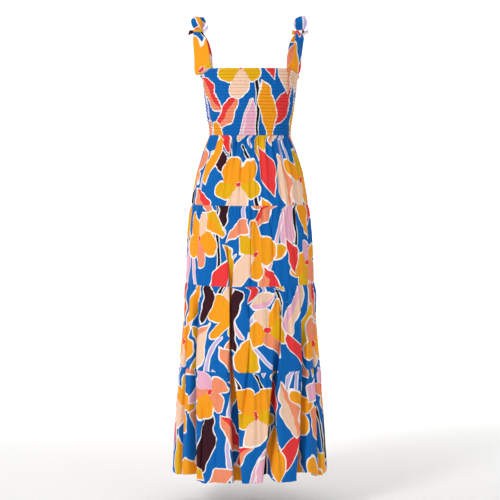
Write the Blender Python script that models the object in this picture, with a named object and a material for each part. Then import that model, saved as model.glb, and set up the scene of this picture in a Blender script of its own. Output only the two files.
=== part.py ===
"""A tie-strap maxi dress, filled out as it is worn: a shirred bodice over four gathered tiers.

Sizes are in millimetres and turned to metres as each mesh is finished. +Z is up, the front
of the dress faces -Y, and the origin lies between the two shoulders, where the straps rest.
"""

import math
from collections import namedtuple

import bmesh
import bpy
from mathutils import Vector

METRES_PER_MM = 0.001

# Heights of the edges and seams, measured from the shoulder.
FRONT_NECK_Z = -111
BACK_NECK_Z = -118
UNDERARM_Z = -131
WAIST_Z = -303
HEM_Z = -1292

# Cloth.
CLOTH_WALL = 1.8
SHIRRED_WALL = 2.2
STRAP_WALL = 1.8
SEAM_GAP = 0.3
STRAP_GAP = 0.8
SUPERELLIPSE = 2.3

# Shirring on the bodice: elastic rows below a plain header.
SHIRRING_ROWS = 20
HEADER_HEIGHT = 9
SHIRRING_PUFF = 1.5
HEADER_PUFF = 0.7
PLAIN_ROW_EVERY = 6
FLARE_ROWS = (2, 4)
BODICE_COLUMNS = 14
# Under each arm the top edge drops and stands away from the body. This is where, across the
# garment, the drop begins and how much of the half width it takes. The rows below crowd
# together there, and do so less the further down they lie.
UNDERARM_FROM = 0.84
UNDERARM_REACH = 0.15
UNDERARM_FLARE = 8
FLARE_HEIGHT = 24
CROWDING_FADE = 6

# Each gather wave is drawn by this many columns: a narrow ridge and a wide flat valley.
COLUMNS_PER_GATHER = 3

Section = namedtuple("Section", "height half_width half_depth centre_y")
SECTIONS = (
    Section(-111, 139.5, 104, -2),
    Section(-170, 134.0, 113, -7),
    Section(-240, 125.5, 102, -5),
    Section(-303, 118.5, 92, -1),
    Section(-352, 135.0, 103, 2),
    Section(-400, 152.0, 116, 4),
    Section(-450, 162.0, 126, 5),
    Section(-504, 170.5, 134, 5),
    Section(-612, 184.0, 146, 4),
    Section(-734, 189.5, 156, 3),
    Section(-849, 196.5, 165, 2),
    Section(-978, 207.0, 175, 0),
    Section(-1137, 219.5, 187, 0),
    Section(-1292, 229.5, 196, 0),
)

# Gathered tiers, from the waist down. The gather sizes are half the height of a wave.
Tier = namedtuple("Tier", "top bottom gathers seam_gather full_gather hem_gather rows")
TIERS = (
    Tier(WAIST_Z, -504, 38, 2.0, 3.0, 2.0, (0, 0.06, 0.22, 0.55, 1)),
    Tier(-504, -734, 42, 2.0, 4.2, 2.4, (0, 0.07, 0.35, 1)),
    Tier(-734, -978, 44, 2.0, 4.6, 2.6, (0, 0.07, 0.35, 1)),
    Tier(-978, HEM_Z, 48, 2.0, 5.0, 3.0, (0, 0.08, 0.25, 0.48, 0.73, 1)),
)
GATHER_PEAK_SHARE = 0.10
SECOND_WAVE = 0.35
# Gathers differ in height by this share, and crowd and spread in slow waves round the skirt,
# given as waves in a turn and how far they shift a gather, in radians.
GATHER_SPREAD = 0.22
CROWDING_WAVES = ((11, 0.020), (7, 0.022))
SEAM_PINCH = 1.5
LOWER_PINCH_SHARE = 0.1
# The gathers die away beside the side seams, within this share of the half depth.
SIDE_SEAM_CALM = 0.06

# Deep inward folds. The angle runs from +X through the back (+Y) and left (-X) to the
# front (-Y) at 270 degrees. A fold leans from its top angle to its hem angle. It starts
# narrower and widens down to the hem, and is at its full depth this share of the way down.
FOLD_TOP_NARROWING = 0.7
FOLD_FULL_BY = 2 / 3
Fold = namedtuple("Fold", "top_height top_angle hem_angle half_angle flat_share depth")
FOLDS = (
    Fold(-760, 200, 204, 5.0, 0.2, 24),
    Fold(-700, 211, 219.5, 7.0, 0.25, 54),
    Fold(-590, 246, 261.5, 9.0, 0.55, 34),
    Fold(-860, 299, 286.5, 8.0, 0.1, 42),
    Fold(-770, 327, 312.0, 8.0, 0.5, 40),
    Fold(-840, 338, 334.0, 5.0, 0.2, 28),
    Fold(-720, 20, 24, 8.0, 0.3, 38),
    Fold(-800, 52, 47, 7.0, 0.2, 44),
    Fold(-640, 77, 73, 9.0, 0.5, 36),
    Fold(-880, 96, 101, 7.5, 0.1, 42),
    Fold(-700, 124, 129, 8.0, 0.4, 46),
    Fold(-780, 160, 155, 7.0, 0.2, 34),
)

# Colours of the printed cloth, one for each group of pieces.
COBALT = (0.01, 0.13, 0.48, 1)
AMBER = (0.92, 0.42, 0.03, 1)
CORAL = (0.95, 0.28, 0.16, 1)
GOLD = (0.88, 0.50, 0.02, 1)
PINK = (0.88, 0.48, 0.58, 1)


def clear_scene():
    for thing in list(bpy.data.objects):
        bpy.data.objects.remove(thing, do_unlink=True)


def cloth_material(name, colour):
    """Printed viscose: matt, with no metal in it."""
    material = bpy.data.materials.new(name)
    material.use_nodes = True
    shader = material.node_tree.nodes["Principled BSDF"]
    shader.inputs["Base Color"].default_value = colour
    shader.inputs["Roughness"].default_value = 0.75
    shader.inputs["Metallic"].default_value = 0.0
    return material


def smooth(share):
    """An even ramp from 0 to 1 with level ends."""
    share = min(1.0, max(0.0, share))
    return share * share * (3 - 2 * share)


def between(low, high, share):
    return low + (high - low) * share


def section_at(height):
    """The form's half width, half depth and centre, on a smooth curve through SECTIONS."""
    last = len(SECTIONS) - 1
    k = next((i for i in range(last) if height >= SECTIONS[i + 1].height), last - 1)
    span = SECTIONS[k + 1].height - SECTIONS[k].height
    t = (height - SECTIONS[k].height) / span

    def slope(i, column):
        before = SECTIONS[max(i - 1, 0)]
        after = SECTIONS[min(i + 1, last)]
        return (after[column] - before[column]) / (after.height - before.height)

    def curve(column):
        start, end = SECTIONS[k][column], SECTIONS[k + 1][column]
        rise_in, rise_out = slope(k, column) * span, slope(k + 1, column) * span
        return (
            (2 * t**3 - 3 * t**2 + 1) * start
            + (t**3 - 2 * t**2 + t) * rise_in
            + (3 * t**2 - 2 * t**3) * end
            + (t**3 - t**2) * rise_out
        )

    return Section(height, curve(1), curve(2), curve(3))


def form_radius(section, angle):
    """Distance from the section's centre to the form, in a direction."""
    across = abs(math.cos(angle)) / section.half_width
    along = abs(math.sin(angle)) / section.half_depth
    return (across**SUPERELLIPSE + along**SUPERELLIPSE) ** (-1 / SUPERELLIPSE)


def fold_depth(angle, height):
    """How far the deep folds draw the cloth in."""
    depth = 0.0
    for fold in FOLDS:
        grown = (fold.top_height - height) / (fold.top_height - HEM_Z)
        if grown <= 0:
            continue
        middle = math.radians(between(fold.top_angle, fold.hem_angle, grown))
        off = abs((angle - middle + math.pi) % (2 * math.pi) - math.pi)
        share = off / math.radians(fold.half_angle * between(FOLD_TOP_NARROWING, 1.0, grown))
        flank = (share - fold.flat_share) / (1 - fold.flat_share)
        depth += fold.depth * smooth(grown / FOLD_FULL_BY) * (1 - smooth(flank))
    return depth


def uneven_angle(turn):
    """The angle at a share of a turn: gathers crowd and spread, but the side seams stay put."""
    full = 2 * math.pi * turn
    return full + sum(shift * math.sin(waves * full) for waves, shift in CROWDING_WAVES)


def gather_height(tier, turn, share):
    """The wave of the gathers at a share of a turn and a share of the way down a tier."""
    wave = 2 * math.pi * tier.gathers * turn
    ridge = (math.cos(wave) + SECOND_WAVE * math.cos(2 * wave)) / (1 + SECOND_WAVE)
    if share < GATHER_PEAK_SHARE:
        size = between(tier.seam_gather, tier.full_gather, smooth(share / GATHER_PEAK_SHARE))
    else:
        faded = (share - GATHER_PEAK_SHARE) / (1 - GATHER_PEAK_SHARE)
        size = between(tier.full_gather, tier.hem_gather, smooth(faded))
    full = 2 * math.pi * turn
    spread = math.sin(13 * full + 5 * share) * math.cos(5 * full - 2 * share)
    uneven = 1 - GATHER_SPREAD + GATHER_SPREAD * spread
    at_side_seam = smooth(abs(math.sin(full)) / SIDE_SEAM_CALM)
    return size * ridge * uneven * at_side_seam


def tier_ring(tier, share):
    """The outer points of a whole tier at one level, from the right side seam round."""
    height = between(tier.top - SEAM_GAP / 2, tier.bottom + SEAM_GAP / 2, share)
    section = section_at(height)
    pinch = SEAM_PINCH * (1 - smooth(share / GATHER_PEAK_SHARE))
    if tier.bottom != HEM_Z:
        pinch += SEAM_PINCH * smooth((share + LOWER_PINCH_SHARE - 1) / LOWER_PINCH_SHARE)
    ring = []
    for column in range(tier.gathers * COLUMNS_PER_GATHER):
        turn = column / (tier.gathers * COLUMNS_PER_GATHER)
        angle = uneven_angle(turn)
        radius = form_radius(section, angle) - fold_depth(angle, height) - pinch
        radius += gather_height(tier, turn, share)
        x = radius * math.cos(angle)
        y = section.centre_y + radius * math.sin(angle)
        ring.append(Vector((x, y, height)))
    return ring


def drawn_in(ring, distance):
    """A closed ring moved inwards by an even distance, square to its own outline."""
    moved = []
    for i, point in enumerate(ring):
        before = (point - ring[i - 1]).normalized()
        after = (ring[(i + 1) % len(ring)] - point).normalized()
        along = (before + after).normalized()
        inwards = Vector((-along.y, along.x, 0))
        corner = max(0.5, before.dot(along))
        moved.append(point + inwards * distance / corner)
    return moved


def half_of(ring, is_front):
    """The columns of the front or back panel, each end held half a seam gap from the seam."""
    half = len(ring) // 2
    picked = [ring[(half * is_front + i) % len(ring)].copy() for i in range(half + 1)]
    for end, inner in ((0, 1), (half, half - 1)):
        picked[end] += (picked[inner] - picked[end]).normalized() * SEAM_GAP / 2
    return picked


def finish(name, bm, material):
    """Turns a closed mesh to metres and makes it an object of its own."""
    bmesh.ops.recalc_face_normals(bm, faces=bm.faces)
    if bm.calc_volume(signed=True) < 0:
        bmesh.ops.reverse_faces(bm, faces=bm.faces)
    bmesh.ops.scale(bm, vec=Vector((METRES_PER_MM,) * 3), verts=bm.verts)
    mesh = bpy.data.meshes.new(name)
    bm.to_mesh(mesh)
    bm.free()
    mesh.materials.append(material)
    mesh.shade_smooth()
    mesh.set_sharp_from_angle(angle=math.radians(50))
    piece = bpy.data.objects.new(name, mesh)
    bpy.data.collections["maxi_dress"].objects.link(piece)
    return piece


def cloth_wall(outside, inside):
    """A closed wall of cloth through two nets of points, each a list of rows."""
    rows, columns = len(outside) - 1, len(outside[0]) - 1
    bm = bmesh.new()
    bmesh.ops.create_grid(bm, x_segments=columns, y_segments=rows, size=0.5)
    made = bmesh.ops.extrude_face_region(bm, geom=bm.faces[:], use_keep_orig=True)
    outer = {v for v in made["geom"] if isinstance(v, bmesh.types.BMVert)}
    inner_at = {}
    for v in bm.verts:
        row = round((0.5 - v.co.y) * rows)
        column = round((v.co.x + 0.5) * columns)
        if v in outer:
            v.co = outside[row][column]
        else:
            v.co = inside[row][column]
            inner_at[v] = (row, column)
    return bm, inner_at


def build_tier(number, tier, material):
    """One gathered tier: a front and a back panel."""
    outer = [tier_ring(tier, share) for share in tier.rows]
    inner = [drawn_in(ring, CLOTH_WALL) for ring in outer]
    for side, is_front in (("front", True), ("back", False)):
        bm, _ = cloth_wall(
            [half_of(ring, is_front) for ring in outer],
            [half_of(ring, is_front) for ring in inner],
        )
        finish(f"tier_{number}_{side}", bm, material)


def neckline_height(angle):
    """The bodice's top edge: level in front and behind, and lower under each arm."""
    across = abs(math.cos(angle))
    level = FRONT_NECK_Z if math.sin(angle) < 0 else BACK_NECK_Z
    return between(level, UNDERARM_Z, smooth((across - UNDERARM_FROM) / UNDERARM_REACH))


def shirring_levels():
    """(height below a level top edge, how far the cloth stands out) down the bodice."""
    levels = [(0, HEADER_PUFF), (HEADER_HEIGHT / 2, HEADER_PUFF), (HEADER_HEIGHT, 0)]
    pitch = (FRONT_NECK_Z - HEADER_HEIGHT - WAIST_Z) / (SHIRRING_ROWS - 1)
    for row in range(SHIRRING_ROWS - 1):
        top = HEADER_HEIGHT + row * pitch
        levels.append((top + pitch / 2, SHIRRING_PUFF))
        levels.append((top + pitch, 0))
    return levels


def bodice_ring(below, raised):
    """The bodice's points at one level: under the arms the upper rows crowd down."""
    length = FRONT_NECK_Z - WAIST_Z - SEAM_GAP / 2
    share = min(below / (FRONT_NECK_Z - WAIST_Z), 1.0)
    ring = []
    for column in range(2 * BODICE_COLUMNS):
        angle = 2 * math.pi * column / (2 * BODICE_COLUMNS)
        dip = (FRONT_NECK_Z - neckline_height(angle)) * (1 - share) ** CROWDING_FADE
        height = FRONT_NECK_Z - share * length - dip
        section = section_at(height)
        under_arm = smooth((abs(math.cos(angle)) - UNDERARM_FROM) / UNDERARM_REACH)
        flare = UNDERARM_FLARE * under_arm * smooth(1 - below / FLARE_HEIGHT)
        radius = form_radius(section, angle) + raised + flare
        x = radius * math.cos(angle)
        y = section.centre_y + radius * math.sin(angle)
        ring.append(Vector((x, y, height)))
    return ring


def merge_plain_rows(bm, inner_at, last_row):
    """Leaves only a few rows on the plain inside of a shirred wall, closer behind the flare."""
    kept = set(FLARE_ROWS) | set(range(0, last_row, PLAIN_ROW_EVERY)) | {last_row}
    spare = [
        edge
        for edge in bm.edges
        if all(v in inner_at for v in edge.verts)
        and inner_at[edge.verts[0]][0] == inner_at[edge.verts[1]][0]
        and inner_at[edge.verts[0]][0] not in kept
    ]
    bmesh.ops.dissolve_edges(bm, edges=spare, use_verts=True)


def build_bodice(material):
    """The shirred tube: puffed rows between elastic threads outside, plain inside."""
    levels = shirring_levels()
    outer = [bodice_ring(below, raised) for below, raised in levels]
    inner = [drawn_in(bodice_ring(below, 0), SHIRRED_WALL) for below, _ in levels]
    for side, is_front in (("front", True), ("back", False)):
        bm, inner_at = cloth_wall(
            [half_of(ring, is_front) for ring in outer],
            [half_of(ring, is_front) for ring in inner],
        )
        merge_plain_rows(bm, inner_at, len(levels) - 1)
        finish(f"bodice_{side}", bm, material)


def on_curve(points, share):
    """A point on a smooth curve through a short list of points."""
    spans = len(points) - 1
    k = min(int(share * spans), spans - 1)
    t = share * spans - k
    before, start = points[max(k - 1, 0)], points[k]
    end, after = points[k + 1], points[min(k + 2, spans)]
    return (
        start
        + (end - before) * (t / 2)
        + (before * 2 - start * 5 + end * 4 - after) * (t * t / 2)
        + (start * 3 - before - end * 3 + after) * (t**3 / 2)
    )


def ribbon(first_edge, second_edge, wall, lengths, widths, crease=0.0, root=None):
    """A strip of cloth between two edge curves, with a soft crease along its middle.

    root is a row of points that the strip starts from instead of a straight end.
    """
    first = [Vector(p) for p in first_edge]
    second = [Vector(p) for p in second_edge]
    middle = []
    for i in range(lengths + 1):
        a, b = on_curve(first, i / lengths), on_curve(second, i / lengths)
        middle.append([a.lerp(b, j / widths) for j in range(widths + 1)])
    if root:
        middle[0] = root

    def normal(i, j):
        down = middle[min(i + 1, lengths)][j] - middle[max(i - 1, 0)][j]
        across = middle[i][min(j + 1, widths)] - middle[i][max(j - 1, 0)]
        return down.cross(across).normalized()

    def net(side):
        rows = []
        for i in range(lengths + 1):
            bow = math.sin(math.pi * i / lengths) * crease
            row = []
            for j in range(widths + 1):
                lift = bow * math.cos(2 * math.pi * j / widths)
                row.append(middle[i][j] + normal(i, j) * (side * wall / 2 + lift))
            rows.append(row)
        return rows

    bm, _ = cloth_wall(net(1), net(-1))
    return bm


def on_top_edge(column):
    """Just above the middle of the bodice's top edge, at a whole or part column."""
    outer = bodice_ring(0, HEADER_PUFF)
    inner = drawn_in(bodice_ring(0, 0), SHIRRED_WALL)
    k = int(column)
    here, after = ((outer[i % len(outer)] + inner[i % len(outer)]) / 2 for i in (k, k + 1))
    return here.lerp(after, column - k) + Vector((0, 0, STRAP_GAP))


# Each strap is sewn to the bodice's edge between two columns, and its edges run up from there
# to the knot: (x, y, height).
Strap = namedtuple("Strap", "name inner_column outer_column inner_edge outer_edge")
STRAPS = (
    Strap(
        "strap_front_left", 16.5, 15,
        ((-116, -76, -88), (-119, -69, -60), (-126, -44, -28), (-138, -12.9, -4)),
        ((-160, -43, -101), (-162, -42, -64), (-165, -27, -30), (-164, -12.9, -4)),
    ),
    Strap(
        "strap_back_left", 11.5, 13,
        ((-112, 82, -92), (-114, 74, -60), (-122, 46, -28), (-138, 12.9, -4)),
        ((-154, 50, -101), (-152, 54, -64), (-157, 33, -30), (-164, 12.9, -4)),
    ),
    Strap(
        "strap_front_right", 25.5, 27,
        ((123, -75, -88), (128, -69, -60), (130, -44, -30), (133, -12.9, -7)),
        ((154, -42, -101), (154, -42, -64), (157, -27, -31), (159, -12.9, -7)),
    ),
    Strap(
        "strap_back_right", 2.5, 1,
        ((110, 82, -92), (112, 75, -60), (118, 46, -28), (133, 12.9, -7)),
        ((150, 50, -101), (147, 55, -64), (149, 34, -31), (159, 12.9, -7)),
    ),
)
STRAP_LENGTHS = 12
STRAP_WIDTHS = 6
STRAP_CREASE = 1.6


def build_straps(material):
    for strap in STRAPS:
        step = (strap.outer_column - strap.inner_column) / STRAP_WIDTHS
        root = [on_top_edge(strap.inner_column + step * j) for j in range(STRAP_WIDTHS + 1)]
        bm = ribbon(
            (root[0],) + strap.inner_edge, (root[-1],) + strap.outer_edge,
            STRAP_WALL, STRAP_LENGTHS, STRAP_WIDTHS, crease=STRAP_CREASE, root=root,
        )
        finish(strap.name, bm, material)


# One bow on each shoulder. The knot is a band pulled tight round the strap ends.
Bow = namedtuple("Bow", "name x height loop_width lean")
BOWS = (
    Bow("left", -151, -2, 32, -6),
    Bow("right", 146, -5, 34, 5),
)
KNOT_SIZE = (30, 24, 17)
KNOT_ROUNDING = 5.5
KNOT_WAIST = 0.86
# A loop's outline in the plane that runs front to back: (forward of the knot, above it).
LOOP_OUTLINE = ((3.2, 9.3), (9, 20), (17, 33), (17, 44), (9, 47.5), (2.2, 41), (1.2, 26), (1.0, 9.3))
LOOP_HEIGHT = 47
LOOP_LENGTHS = 18
LOOP_WIDTHS = 4
# A loop's share of its full width where it leaves the knot and at its rounded top, and the
# heights above the knot between which it widens and narrows again.
LOOP_NECK_SHARE = 0.72
LOOP_TOP_SHARE = 0.58
LOOP_WIDENS = (9, 25)
LOOP_NARROWS = (34, 48)
TAIL_GAP = 0.7
TAIL_LENGTHS = 4
TAIL_WIDTHS = 2
# A tail's edges at its root, middle and tip. out and rise are shares of the tail's own, and
# forward and slant are how far its lower edge stands out and how much shorter its upper is.
TailRow = namedtuple("TailRow", "out rise half_width low_forward high_forward slant")
TAIL_ROWS = (
    TailRow(0.0, 0.0, 4, 5, 2, 0),
    TailRow(0.5, 0.4, 6, 8, 5, 0),
    TailRow(1.0, 1.0, 7, 9, 8, 4),
)
# The short tie ends beside each knot: how far they reach sideways and how far the tip rises.
Tail = namedtuple("Tail", "name bow direction reach rise")
TAILS = (
    Tail("tail_outer_left", BOWS[0], -1, 14, -4),
    Tail("tail_inner_left", BOWS[0], 1, 15, 14),
    Tail("tail_outer_right", BOWS[1], 1, 10, 4),
    Tail("tail_inner_right", BOWS[1], -1, 10, 2),
)


def build_knot(bow, material):
    """The knot: a rounded band with a soft waist where the cloth is pulled tight."""
    bm = bmesh.new()
    bmesh.ops.create_cube(bm, size=1)
    bmesh.ops.scale(bm, vec=Vector(KNOT_SIZE), verts=bm.verts)
    bmesh.ops.bevel(
        bm, geom=bm.edges[:], offset=KNOT_ROUNDING, segments=2, profile=0.5, affect="EDGES", material=-1
    )
    for v in bm.verts:
        v.co.z *= between(KNOT_WAIST, 1.0, abs(v.co.x) / (KNOT_SIZE[0] / 2))
    bmesh.ops.translate(bm, vec=Vector((bow.x, 0, bow.height)), verts=bm.verts)
    finish(f"knot_{bow.name}", bm, material)


def loop_width_at(up):
    """A loop's share of its full width, at a height above the knot."""
    widened = smooth((up - LOOP_WIDENS[0]) / (LOOP_WIDENS[1] - LOOP_WIDENS[0]))
    narrowed = smooth((up - LOOP_NARROWS[0]) / (LOOP_NARROWS[1] - LOOP_NARROWS[0]))
    return between(LOOP_NECK_SHARE, 1.0, widened) - (1 - LOOP_TOP_SHARE) * narrowed


def build_loop(bow, is_front, material):
    """A bow loop: a strip that leaves the knot, turns over and comes back to it."""
    facing = -1 if is_front else 1
    edges = []
    for end in (-1, 1):
        edges.append([
            (bow.x + end * bow.loop_width / 2 * loop_width_at(up) + bow.lean * up / LOOP_HEIGHT,
             facing * forward,
             bow.height + up)
            for forward, up in LOOP_OUTLINE
        ])
    bm = ribbon(edges[0], edges[1], STRAP_WALL, LOOP_LENGTHS, LOOP_WIDTHS)
    name = "front" if is_front else "back"
    finish(f"loop_{name}_{bow.name}", bm, material)


def build_tail(tail, material):
    """A short tie end with a slanted tip, beside the knot."""
    root = tail.bow.x + tail.direction * (KNOT_SIZE[0] / 2 + TAIL_GAP)
    low, high = [], []
    for row in TAIL_ROWS:
        out = tail.reach * row.out
        z = tail.bow.height + tail.rise * row.rise
        low.append((root + tail.direction * out, -row.low_forward, z - row.half_width))
        high.append((root + tail.direction * (out - row.slant), -row.high_forward, z + row.half_width))
    bm = ribbon(low, high, STRAP_WALL, TAIL_LENGTHS, TAIL_WIDTHS)
    finish(tail.name, bm, material)


def build():
    clear_scene()
    group = bpy.data.collections.new("maxi_dress")
    bpy.context.scene.collection.children.link(group)
    build_bodice(cloth_material("bodice_cloth", COBALT))
    tier_colours = (AMBER, COBALT, CORAL, COBALT)
    for number, (tier, colour) in enumerate(zip(TIERS, tier_colours), start=1):
        build_tier(number, tier, cloth_material(f"tier_{number}_cloth", colour))
    build_straps(cloth_material("strap_cloth", GOLD))
    bow_cloth = cloth_material("bow_cloth", PINK)
    for bow in BOWS:
        build_knot(bow, bow_cloth)
        for is_front in (True, False):
            build_loop(bow, is_front, bow_cloth)
    for tail in TAILS:
        build_tail(tail, bow_cloth)


build()
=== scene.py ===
"""A tie-strap maxi dress in printed viscose, filled out as it is worn.

The dress's sizes are in millimetres, turned to metres as each piece is made, and the studio's
are in metres. +Z is up, the front of the dress faces -Y, and the origin lies between the
shoulders, where the straps rest.
"""

import math
from collections import namedtuple

import bmesh
import bpy
import numpy as np
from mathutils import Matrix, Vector


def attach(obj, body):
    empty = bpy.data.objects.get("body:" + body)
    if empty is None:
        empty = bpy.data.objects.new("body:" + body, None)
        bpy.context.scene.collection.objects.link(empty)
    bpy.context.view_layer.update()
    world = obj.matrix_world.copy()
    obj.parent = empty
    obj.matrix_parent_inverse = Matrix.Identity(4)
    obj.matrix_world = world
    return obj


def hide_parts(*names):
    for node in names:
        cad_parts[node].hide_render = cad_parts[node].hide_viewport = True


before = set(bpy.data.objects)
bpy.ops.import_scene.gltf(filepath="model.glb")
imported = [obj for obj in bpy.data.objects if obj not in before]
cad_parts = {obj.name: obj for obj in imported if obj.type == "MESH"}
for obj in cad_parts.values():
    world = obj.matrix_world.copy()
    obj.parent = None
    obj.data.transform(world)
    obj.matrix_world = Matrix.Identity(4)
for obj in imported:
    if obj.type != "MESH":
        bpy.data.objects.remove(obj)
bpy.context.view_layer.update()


# Bodice
# Two panels of printed viscose, shirred on twenty rows of elastic thread so that they cling as
# a tube, under a plain header. Side seams join the front to the back.


def linear(hex_colour):
    """An sRGB hex colour as the linear colour that the shader takes."""
    channels = [int(hex_colour[i:i + 2], 16) / 255 for i in (0, 2, 4)]
    return [c / 12.92 if c <= 0.04045 else ((c + 0.055) / 1.055) ** 2.4 for c in channels] + [1.0]


# The colours that the cloth is printed with.
COBALT = "0267B8"
AMBER = "F9A11B"
GOLD = "E9B10F"
CORAL = "F5926B"
RED = "EE3A3C"
PINK = "EFB3CB"
PEACH = "F8CFB2"
LILAC = "C8B6E2"
MAROON = "3A1520"
INK = "17131C"
CHALK = "FBF6F1"


def add_node(tree, kind, inputs=(), **settings):
    """Adds a node: settings are its properties, and inputs its values or what feeds them."""
    node = tree.nodes.new(kind)
    for name, value in settings.items():
        setattr(node, name, value)
    for socket, value in dict(inputs).items():
        if isinstance(value, bpy.types.NodeSocket):
            tree.links.new(value, node.inputs[socket])
        else:
            node.inputs[socket].default_value = value
    return node


def calc(tree, operation, *inputs):
    """One sum on numbers."""
    return add_node(tree, "ShaderNodeMath", dict(enumerate(inputs)), operation=operation).outputs[0]


def vector_calc(tree, operation, inputs, output="Vector"):
    """One sum on vectors, which gives a vector or a value."""
    return add_node(tree, "ShaderNodeVectorMath", inputs, operation=operation).outputs[output]


def lay_over(tree, ground, mask, colour):
    """One screen of the print laid over the ones before it."""
    colours = {0: mask, 6: ground, 7: colour}
    return add_node(tree, "ShaderNodeMix", colours, data_type="RGBA").outputs[2]


# One repeat of the print, drawn in millimetres and enlarged by PRINT_SCALE on the cloth. Each
# motif has its middle, and its turn in degrees.
REPEAT = 640
OUTLINE = 3.4

# A leaf is an almond between two arcs, which bulge to the left and to the right of its
# length. The other colour fills one half. Some lie under the flowers, and some over them.
Leaf = namedtuple("Leaf", "x y turn length left right colour other", defaults=(None,))
LEAVES_UNDER = (
    Leaf(205, 505, 24, 150, 26, 20, CORAL),
    Leaf(12, 452, -32, 140, 24, 26, RED),
    Leaf(96, 418, 10, 132, 20, 24, GOLD, AMBER),
    Leaf(300, 478, -12, 168, 22, 26, MAROON),
    Leaf(392, 500, 38, 128, 26, 22, CORAL, RED),
    Leaf(458, 442, -48, 120, 24, 20, RED, CORAL),
    Leaf(610, 448, 22, 150, 26, 26, AMBER),
    Leaf(540, 405, -15, 138, 20, 22, PINK),
    Leaf(330, 300, 30, 150, 24, 26, AMBER, GOLD),
    Leaf(262, 262, -25, 138, 26, 22, RED),
    Leaf(22, 318, 48, 132, 24, 24, MAROON),
    Leaf(120, 300, -18, 140, 22, 20, PINK),
    Leaf(496, 232, 20, 168, 26, 26, CORAL, RED),
    Leaf(575, 190, -38, 130, 22, 24, AMBER),
    Leaf(250, 412, 66, 104, 20, 22, AMBER, GOLD),
    Leaf(482, 340, -74, 110, 18, 20, GOLD, AMBER),
    Leaf(30, 560, 4, 130, 22, 20, PEACH, CORAL),
    Leaf(420, 610, 62, 110, 18, 22, MAROON),
    Leaf(160, 120, -58, 124, 20, 20, CORAL, AMBER),
    Leaf(478, 130, -14, 130, 20, 22, GOLD),
)
LEAVES_OVER = (
    Leaf(196, 160, 12, 160, 24, 26, MAROON),
    Leaf(232, 60, -35, 140, 26, 24, AMBER, GOLD),
    Leaf(410, 180, -22, 132, 22, 24, PINK, PEACH),
    Leaf(418, 58, 26, 150, 26, 22, RED),
    Leaf(22, 82, -12, 138, 22, 26, CORAL, PEACH),
    Leaf(135, 48, 36, 120, 22, 20, CORAL),
    Leaf(612, 36, -28, 128, 24, 22, GOLD),
    Leaf(205, 612, -48, 110, 20, 20, PINK),
    Leaf(395, 622, -8, 116, 20, 18, AMBER),
    Leaf(610, 590, 12, 126, 20, 24, RED),
    Leaf(10, 205, 5, 120, 20, 22, MAROON),
    Leaf(345, 395, -62, 92, 16, 18, CORAL),
    Leaf(610, 108, 58, 92, 16, 16, GOLD),
    Leaf(560, 330, 28, 96, 18, 16, RED),
    Leaf(292, 212, -70, 90, 16, 18, PEACH, PINK),
)

# A flower has oval petals round a small heart, each in the next of its colours.
Flower = namedtuple("Flower", "x y turn radius petals petal_width uneven colours")
FLOWERS = (
    Flower(108, 566, 8, 74, 5, 48, 0.16, (AMBER, GOLD, AMBER, PEACH, AMBER)),
    Flower(302, 600, 40, 62, 5, 42, 0.20, (CORAL, PINK, CORAL, AMBER, CORAL)),
    Flower(508, 556, -20, 78, 5, 52, 0.22, (GOLD, AMBER, AMBER, GOLD, PEACH)),
    Flower(192, 372, 62, 68, 5, 46, 0.18, (PEACH, AMBER, AMBER, CORAL, AMBER)),
    Flower(418, 338, 15, 80, 5, 54, 0.20, (AMBER, AMBER, GOLD, PEACH, AMBER)),
    Flower(622, 306, -35, 64, 5, 44, 0.18, (CORAL, AMBER, PINK, AMBER, GOLD)),
    Flower(98, 188, 30, 78, 5, 52, 0.22, (AMBER, PEACH, AMBER, AMBER, GOLD)),
    Flower(322, 140, -10, 72, 5, 48, 0.18, (GOLD, AMBER, PEACH, AMBER, CORAL)),
    Flower(518, 92, 50, 66, 5, 46, 0.20, (AMBER, CORAL, AMBER, PEACH, AMBER)),
)
HEART_RADIUS = 7

# A stem is a thin arc, of this radius, which runs across its own middle.
Stem = namedtuple("Stem", "x y turn length radius width colour")
STEMS = (
    Stem(60, 505, 12, 300, 400, 8, LILAC),
    Stem(80, 330, -8, 300, -380, 9, INK),
    Stem(160, 250, 14, 320, 420, 7, PINK),
    Stem(255, 420, 4, 360, -500, 8, INK),
    Stem(270, 180, -12, 300, 360, 8, LILAC),
    Stem(360, 430, 8, 340, 460, 8, LILAC),
    Stem(380, 90, 14, 280, -420, 9, INK),
    Stem(470, 300, -10, 340, 380, 8, PINK),
    Stem(560, 480, 6, 320, -460, 9, INK),
    Stem(560, 150, -16, 300, 420, 8, LILAC),
    Stem(450, 610, 18, 260, 380, 8, MAROON),
    Stem(30, 620, -14, 260, 420, 8, LILAC),
)
STEM_EDGE = 3.0


def motif_place(tree, cloth, motif):
    """The cloth as seen from a motif's middle, with +Y along its length."""
    half = REPEAT / 2
    corner = (motif.x - half, motif.y - half, -half)
    wrapped = vector_calc(tree, "WRAP", {0: cloth, 1: [c + REPEAT for c in corner], 2: corner})
    return add_node(tree, "ShaderNodeMapping", {
        "Vector": wrapped, "Location": (motif.x, motif.y, 0),
        "Rotation": (0, 0, math.radians(motif.turn)),
    }, vector_type="TEXTURE").outputs[0]


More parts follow.
